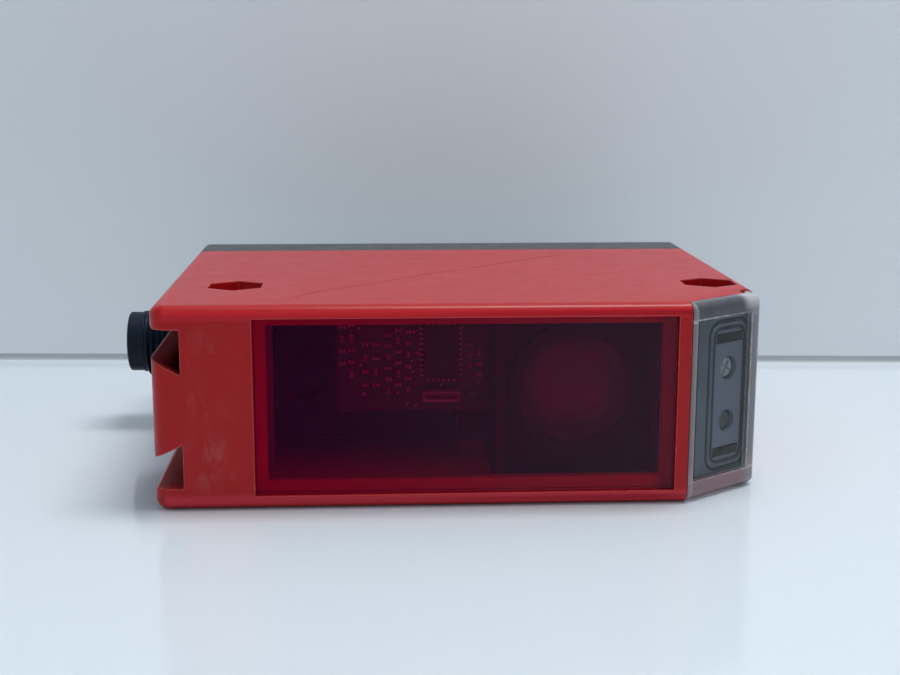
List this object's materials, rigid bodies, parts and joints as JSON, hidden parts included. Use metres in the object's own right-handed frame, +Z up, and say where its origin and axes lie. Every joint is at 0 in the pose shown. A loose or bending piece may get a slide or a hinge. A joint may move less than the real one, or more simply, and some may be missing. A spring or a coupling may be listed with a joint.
{
  "type": "laser distance sensor",
  "caption": "Flat red block sensor with a dark red filter window, dovetail clamp rail, side M12 connector, dark rear cover and a clear hinged hood over its corner operating panel.",
  "frame": {"origin": "midway between the two mounting holes, on the mounting face that the sensor rests on", "axes": "+X along the length, away from the connector; +Y from the front window to the rear cover; +Z up, along the mounting holes"},
  "size_m": [0.101, 0.07, 0.03],
  "materials": {
    "housing_red": "satin",
    "filter_pane": "gloss",
    "adhesive": "matte",
    "cover_grey": "fine texture",
    "seal_black": "matte",
    "steel": "satin",
    "clear": "gloss",
    "panel_grey": "matte",
    "gasket_grey": "matte",
    "indicator_dark": "gloss",
    "led_white": "gloss",
    "board_green": "gloss",
    "trimmer_blue": "gloss",
    "rotor_light": "satin",
    "button_dark": "matte",
    "switch_grey": "matte",
    "chip_black": "matte",
    "chip_parts": "satin",
    "plug_cream": "matte",
    "screw_dark": "satin",
    "optics_black": "matte",
    "lens_clear": "gloss",
    "detector_dark": "gloss",
    "diode_gold": "gloss",
    "power_grey": "satin",
    "ribbon_white": "satin",
    "connector_black": "fine texture",
    "pin_gold": "polished",
    "nut_nickel": "satin",
    "lead_brown": "satin"
  },
  "bodies": {
    "body": {"housing": "housing_red", "front_window": "filter_pane", "window_seal": "adhesive", "rear_cover": "cover_grey", "rear_seal": "seal_black", "cover_screws": "steel", "panel_plate": "panel_grey", "panel_gasket": "gasket_grey", "indicator_windows": "indicator_dark", "indicator_leds": "led_white", "panel_board": "board_green", "panel_screws": "steel", "adjuster_body": "trimmer_blue", "button_switch": "switch_grey", "main_board": "board_green", "processor": "chip_black", "board_parts": "chip_parts", "board_connector": "plug_cream", "board_screws": "screw_dark", "optics_carrier": "optics_black", "receiver_lens": "lens_clear", "lens_ring": "optics_black", "receiver_board": "board_green", "photodetector": "detector_dark", "optics_screws": "steel", "emitter_holder": "optics_black", "emitter_lens": "lens_clear", "laser_diode": "diode_gold", "power_board": "board_green", "power_parts": "power_grey", "power_screws": "steel", "link_ribbon": "ribbon_white", "panel_ribbon": "ribbon_white", "connector_shell": "connector_black", "connector_insert": "connector_black", "connector_pins": "pin_gold", "connector_seal": "seal_black", "connector_nut": "nut_nickel", "connector_leads": "lead_brown"},
    "hood": {"hood": "clear", "hood_pin": "steel"},
    "adjuster": {"range_adjuster": "rotor_light"},
    "button": {"teach_button": "button_dark"}
  },
  "joints": [
    {"name": "hood_hinge", "type": "hinge", "parent": "body", "child": "hood", "pos_m": [0.0415, -0.00787, 0.015], "axis": [0, 0, 1], "range_deg": [0, 90]},
    {"name": "adjuster_turn", "type": "hinge", "parent": "body", "child": "adjuster", "pos_m": [0.0367, -0.01143, 0.01905], "axis": [-0.5894, 0.8079, 0], "range_deg": [-135, 135]},
    {"name": "button_press", "type": "slide", "parent": "body", "child": "button", "axis": [-0.5894, 0.8079, 0], "range_m": [0, 0.0003], "stiffness_N_per_m": 5000, "springref_m": -0.0001}
  ]
}
